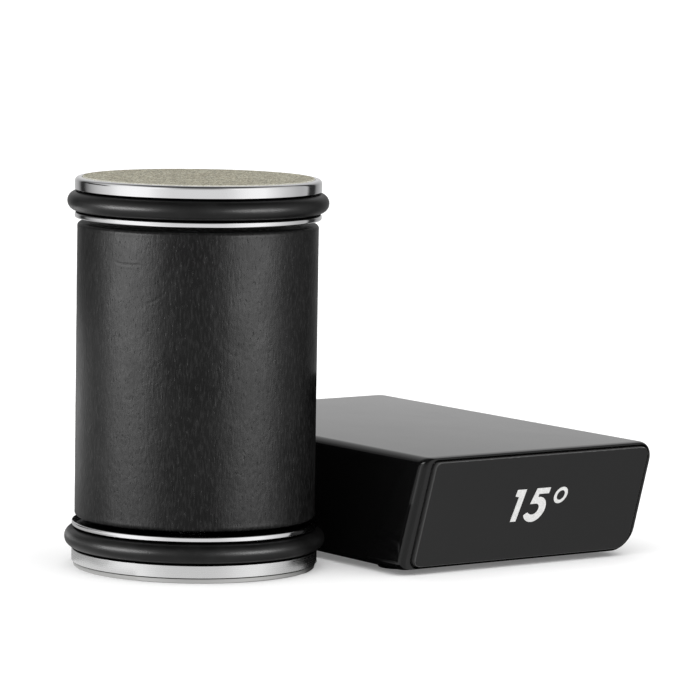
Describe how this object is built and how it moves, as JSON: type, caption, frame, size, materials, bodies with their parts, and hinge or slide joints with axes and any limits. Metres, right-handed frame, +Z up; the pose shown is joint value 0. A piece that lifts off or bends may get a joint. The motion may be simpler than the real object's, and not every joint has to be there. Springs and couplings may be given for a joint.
{
  "type": "rolling knife sharpener",
  "caption": "Rolling knife sharpener: a wooden barrel that turns between two steel wheels with a diamond and a honing disc, and a magnetic angle block.",
  "frame": {"origin": "on the roller's axis, at the underside of the honing disc, on the surface that the set stands on", "axes": "+Z up along the roller's axis, +Y along the angle block away from its numbered end, +X from the roller to the block"},
  "size_m": [0.138, 0.1116, 0.092],
  "materials": {
    "painted_wood": "black paint over open vertical grain, satin",
    "bright_steel": "turned and polished",
    "honing_steel": "fine concentric brushing",
    "dark_steel": "plain machined",
    "cage_brass": "pressed",
    "magnet_metal": "nickel plated",
    "ring_rubber": "satin black",
    "foot_rubber": "matte black",
    "diamond_grit": "fine diamond grit, beige grey and speckled",
    "block_black": "satin black moulding",
    "plate_black": "matte black plate"
  },
  "bodies": {
    "angle_block": {"block_case": "block_black", "front_plate": "plate_black", "rear_plate": "plate_black", "left_block_magnet_1": "magnet_metal", "left_block_magnet_2": "magnet_metal", "left_block_magnet_3": "magnet_metal", "right_block_magnet_1": "magnet_metal", "right_block_magnet_2": "magnet_metal", "right_block_magnet_3": "magnet_metal", "left_keeper_bar": "dark_steel", "right_keeper_bar": "dark_steel", "near_left_foot": "foot_rubber", "far_left_foot": "foot_rubber", "near_right_foot": "foot_rubber", "far_right_foot": "foot_rubber"},
    "barrel": {"barrel": "painted_wood", "lower_bearing_outer_ring": "dark_steel", "upper_bearing_outer_ring": "dark_steel"},
    "wheels": {"axle": "dark_steel", "spacer_tube": "dark_steel", "lower_wheel": "bright_steel", "upper_wheel": "bright_steel", "lower_rubber_ring": "ring_rubber", "upper_rubber_ring": "ring_rubber", "lower_axle_screw": "dark_steel", "upper_axle_screw": "dark_steel", "lower_disc_magnet_1": "magnet_metal", "lower_disc_magnet_2": "magnet_metal", "lower_disc_magnet_3": "magnet_metal", "upper_disc_magnet_1": "magnet_metal", "upper_disc_magnet_2": "magnet_metal", "upper_disc_magnet_3": "magnet_metal", "diamond_disc": "diamond_grit", "honing_disc": "honing_steel", "lower_bearing_inner_ring": "dark_steel", "upper_bearing_inner_ring": "dark_steel"},
    "lower_cage": {"lower_bearing_cage": "cage_brass", "lower_ball_1": "bright_steel", "lower_ball_2": "bright_steel", "lower_ball_3": "bright_steel", "lower_ball_4": "bright_steel", "lower_ball_5": "bright_steel", "lower_ball_6": "bright_steel", "lower_ball_7": "bright_steel"},
    "upper_cage": {"upper_bearing_cage": "cage_brass", "upper_ball_1": "bright_steel", "upper_ball_2": "bright_steel", "upper_ball_3": "bright_steel", "upper_ball_4": "bright_steel", "upper_ball_5": "bright_steel", "upper_ball_6": "bright_steel", "upper_ball_7": "bright_steel"}
  },
  "joints": [
    {"name": "roller_lift", "type": "slide", "parent": "angle_block", "child": "barrel", "axis": [0, 0, 1], "range_m": [0, 0.1]},
    {"name": "wheel_spin", "type": "hinge", "parent": "barrel", "child": "wheels", "pos_m": [0, 0, 0], "axis": [0, 0, 1], "continuous": true},
    {"name": "lower_cage_spin", "type": "hinge", "parent": "barrel", "child": "lower_cage", "pos_m": [0, 0, 0.0157], "axis": [0, 0, 1], "continuous": true},
    {"name": "upper_cage_spin", "type": "hinge", "parent": "barrel", "child": "upper_cage", "pos_m": [0, 0, 0.0774], "axis": [0, 0, 1], "continuous": true}
  ],
  "couplings": [
    {"joint": "lower_cage_spin", "follows": "wheel_spin", "ratio": 0.368},
    {"joint": "upper_cage_spin", "follows": "wheel_spin", "ratio": 0.368}
  ]
}
